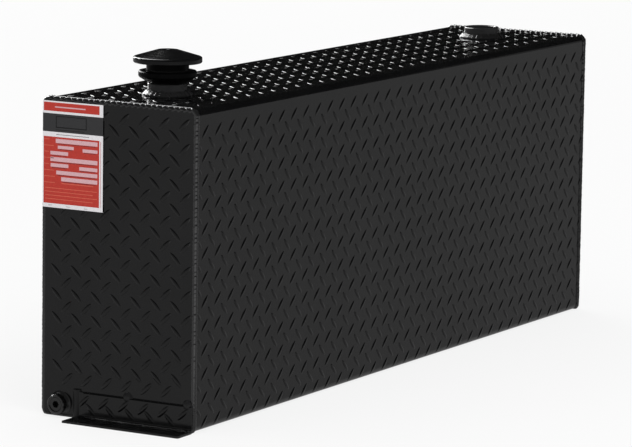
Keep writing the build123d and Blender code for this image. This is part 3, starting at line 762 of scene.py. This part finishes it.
# Strength of the light and of the cards that only reflections see
WORLD_LIGHT = 0.8
FLOOR_CARD = 0.38
CURTAIN = 0.008
SIDE_CARD = 0.28
FRONT_CARD = 0.9
LEFT_CARD = 0.2
RIGHT_CARD = 0.16
RIM_CARD = 11.0
UPPER_CARD = 8.0
DRAIN_CARD = 30.0

# Places of the studio, in metres
FLOOR_REACH = 40.0
FLOOR_GREY = 0.86
FLOOR_WHITE_SHARE = 0.8
CARD_REACH = 16.0
CARD_HEIGHT = 18.0
CARD_SIDES = 48
WALL_DISTANCE = 10.0
WALL_STEPS = 16


def background_rays(tree):
    """1 for camera, glossy and transmission rays, which see a plain white."""
    rays = tree.nodes.new("ShaderNodeLightPath")
    camera_or_glossy = tree.nodes.new("ShaderNodeMath")
    camera_or_glossy.operation = "MAXIMUM"
    seen = tree.nodes.new("ShaderNodeMath")
    seen.operation = "MAXIMUM"
    tree.links.new(rays.outputs["Is Camera Ray"], camera_or_glossy.inputs[0])
    tree.links.new(rays.outputs["Is Glossy Ray"], camera_or_glossy.inputs[1])
    tree.links.new(camera_or_glossy.outputs[0], seen.inputs[0])
    tree.links.new(rays.outputs["Is Transmission Ray"], seen.inputs[1])
    return seen.outputs[0]


def make_world():
    """Soft even light, with a white background."""
    world = bpy.data.worlds.new("studio")
    bpy.context.scene.world = world
    world.use_nodes = True
    tree = world.node_tree
    tree.nodes.clear()
    light = tree.nodes.new("ShaderNodeBackground")
    light.inputs["Color"].default_value = (1, 1, 1, 1)
    light.inputs["Strength"].default_value = WORLD_LIGHT
    white = tree.nodes.new("ShaderNodeBackground")
    white.inputs["Color"].default_value = (1, 1, 1, 1)
    white.inputs["Strength"].default_value = 1.0
    mix = tree.nodes.new("ShaderNodeMixShader")
    out = tree.nodes.new("ShaderNodeOutputWorld")
    tree.links.new(background_rays(tree), mix.inputs["Fac"])
    tree.links.new(light.outputs[0], mix.inputs[1])
    tree.links.new(white.outputs[0], mix.inputs[2])
    tree.links.new(mix.outputs[0], out.inputs["Surface"])


def empty_material(name):
    """A material without nodes, and its tree."""
    material = bpy.data.materials.new(name)
    material.use_nodes = True
    material.node_tree.nodes.clear()
    return material, material.node_tree


def make_floor():
    """Pale floor that keeps the tank's shadow."""
    material, tree = empty_material("pale_floor")
    matt = tree.nodes.new("ShaderNodeBsdfDiffuse")
    matt.inputs["Color"].default_value = (FLOOR_GREY, FLOOR_GREY, FLOOR_GREY, 1)
    glow = tree.nodes.new("ShaderNodeEmission")
    glow.inputs["Strength"].default_value = 1.0
    share = tree.nodes.new("ShaderNodeMath")
    share.operation = "MULTIPLY"
    share.inputs[1].default_value = FLOOR_WHITE_SHARE
    mix = tree.nodes.new("ShaderNodeMixShader")
    out = tree.nodes.new("ShaderNodeOutputMaterial")
    tree.links.new(background_rays(tree), share.inputs[0])
    tree.links.new(share.outputs[0], mix.inputs["Fac"])
    tree.links.new(matt.outputs[0], mix.inputs[1])
    tree.links.new(glow.outputs[0], mix.inputs[2])
    tree.links.new(mix.outputs[0], out.inputs["Surface"])
    corners = floor_patch((-FLOOR_REACH, -FLOOR_REACH), (FLOOR_REACH, FLOOR_REACH), 0.0)
    floor = mesh_object("floor", *corners, [material])


def tank_middle():
    """Middle of the tank, which lamps and cards face."""
    return Vector((0, 0, HEIGHT / 2))


def compass(azimuth, elevation, distance):
    """Place at an azimuth (anticlockwise from +X) and elevation, seen from the tank's middle."""
    a, e = math.radians(azimuth), math.radians(elevation)
    ahead = Vector((math.cos(a) * math.cos(e), math.sin(a) * math.cos(e), math.sin(e)))
    return tank_middle() + ahead * distance


def area_lamp(name, azimuth, elevation, distance, size, power):
    """Soft rectangular lamp aimed at the tank, not seen in reflections."""
    data = bpy.data.lights.new(name, "AREA")
    data.shape = "RECTANGLE"
    data.size, data.size_y = size
    data.energy = power
    lamp = bpy.data.objects.new(name, data)
    bpy.context.scene.collection.objects.link(lamp)
    lamp.location = compass(azimuth, elevation, distance)
    lamp.rotation_euler = (tank_middle() - lamp.location).to_track_quat("-Z", "Y").to_euler()
    lamp.visible_glossy = False


def reflection_card(name, level, points, faces):
    """Card of one grey level that only reflections see, as set round glossy black things."""
    material, tree = empty_material(name)
    glow = tree.nodes.new("ShaderNodeEmission")
    glow.inputs["Color"].default_value = (1, 1, 1, 1)
    glow.inputs["Strength"].default_value = level
    out = tree.nodes.new("ShaderNodeOutputMaterial")
    tree.links.new(glow.outputs[0], out.inputs["Surface"])
    card = mesh_object(name, points, faces, [material])
    card.visible_camera = False
    card.visible_diffuse = False
    card.visible_shadow = False
    card.visible_transmission = False


def card_facing(azimuth, elevation, distance, width, height):
    """Corners of an upright or tilted card that faces the tank, and its one face."""
    middle = compass(azimuth, elevation, distance)
    turn = (tank_middle() - middle).to_track_quat("Z", "Y")
    corners = [(-1, -1), (1, -1), (1, 1), (-1, 1)]
    points = [middle + turn @ Vector((u * width / 2, v * height / 2, 0)) for u, v in corners]
    return [tuple(point) for point in points], [(0, 1, 2, 3)]


def floor_patch(low, high, lift):
    """Corners of a rectangle that lies on the floor, and its one face."""
    points = [(low[0], low[1]), (high[0], low[1]), (high[0], high[1]), (low[0], high[1])]
    return [(x, y, lift) for x, y in points], [(0, 1, 2, 3)]


def wall_arc(start, stop, height):
    """Corners of a low curved wall between two azimuths, and its faces."""
    points = []
    for k in range(WALL_STEPS + 1):
        azimuth = math.radians(start + (stop - start) * k / WALL_STEPS)
        x, y = math.cos(azimuth) * WALL_DISTANCE, math.sin(azimuth) * WALL_DISTANCE
        points += [(x, y, 0.0), (x, y, height)]
    return points, [(2 * k, 2 * k + 2, 2 * k + 3, 2 * k + 1) for k in range(WALL_STEPS)]


def round_ring(height):
    """Points of the big circle round the studio, at a height."""
    turns = [2 * math.pi * k / CARD_SIDES for k in range(CARD_SIDES)]
    ring = [Vector((math.cos(turn), math.sin(turn), 0)) for turn in turns]
    return [tuple(out * CARD_REACH + Vector((0, 0, height))) for out in ring]


def make_cards():
    """Grey cards on the floor, a black curtain with a ceiling, low grey walls and bright cards."""
    reflection_card("floor_card", FLOOR_CARD, round_ring(0.0003), [tuple(range(CARD_SIDES))])
    side_patch = floor_patch((-0.75, -12.0), (12.0, -0.14), 0.0006)
    front_patch = floor_patch((-2.7, -2.3), (-0.75, -0.2), 0.0009)
    reflection_card("side_card", SIDE_CARD, *side_patch)
    reflection_card("front_card", FRONT_CARD, *front_patch)
    walls = []
    for k in range(CARD_SIDES):
        after = (k + 1) % CARD_SIDES
        walls.append((k, after, CARD_SIDES + after, CARD_SIDES + k))
    walls.append(tuple(range(CARD_SIDES, 2 * CARD_SIDES)))
    reflection_card("curtain", CURTAIN, round_ring(0.0) + round_ring(CARD_HEIGHT), walls)
    reflection_card("left_card", LEFT_CARD, *wall_arc(100, 155, 2.7))
    reflection_card("left_card_high", LEFT_CARD, *wall_arc(155, 205, 4.4))
    reflection_card("right_card", RIGHT_CARD, *wall_arc(-28, 12, 1.7))
    reflection_card("rim_card", RIM_CARD, *card_facing(58, 24, 12.0, 3.2, 8.5))
    reflection_card("upper_card", UPPER_CARD, *card_facing(67, 53, 12.0, 7.5, 4.5))
    reflection_card("drain_card", DRAIN_CARD, *card_facing(83, 31, 12.0, 2.4, 2.4))


# The photo's camera, solved from the tank's corners
EYE = (-5.2038, -2.9626, 1.1408)
EYE_FORWARD = (0.85661, 0.49254, -0.15372)
EYE_UP = (0.12565, 0.08983, 0.98800)
LENS = 223.68
SENSOR = 36.0
CLIP_END = 200.0


def make_camera():
    """Camera at the photo's place."""
    up = Vector(EYE_UP).normalized()
    data = bpy.data.cameras.new("camera")
    data.lens = LENS
    data.sensor_width = SENSOR
    data.clip_end = CLIP_END
    camera = bpy.data.objects.new("camera", data)
    bpy.context.scene.collection.objects.link(camera)
    back = -Vector(EYE_FORWARD).normalized()
    right = up.cross(back).normalized()
    turn = Matrix((right, back.cross(right), back)).transposed()
    camera.matrix_world = Matrix.Translation(EYE) @ turn.to_4x4()
    bpy.context.scene.camera = camera


dress_frame()
sheet_lugs()
end_plate_sheet("end_sheet_near", "end_plate_near", -1)
end_plate_sheet("end_sheet_far", "end_plate_far", 1)
end_lugs()
angle_lugs()
paint_shadow_lines()
rippled_end_weld("bead_end_near", "weld_end_near", -1)
rippled_end_weld("bead_end_far", "weld_end_far", 1)
rippled_ring_weld("bead_filler_coupling", "weld_filler_coupling", "filler_coupling")
rippled_ring_weld("bead_pump_coupling", "weld_pump_coupling", "pump_coupling")
vent_spring_coil()
label_print()

make_world()
make_floor()
make_cards()
area_lamp("key_lamp", -125, 45, 4.0, (2.5, 2.0), 40)
area_lamp("rim_lamp", 54, 29, 12.0, (5.0, 11.0), 300)
make_camera()

bpy.context.scene.view_settings.view_transform = "Standard"
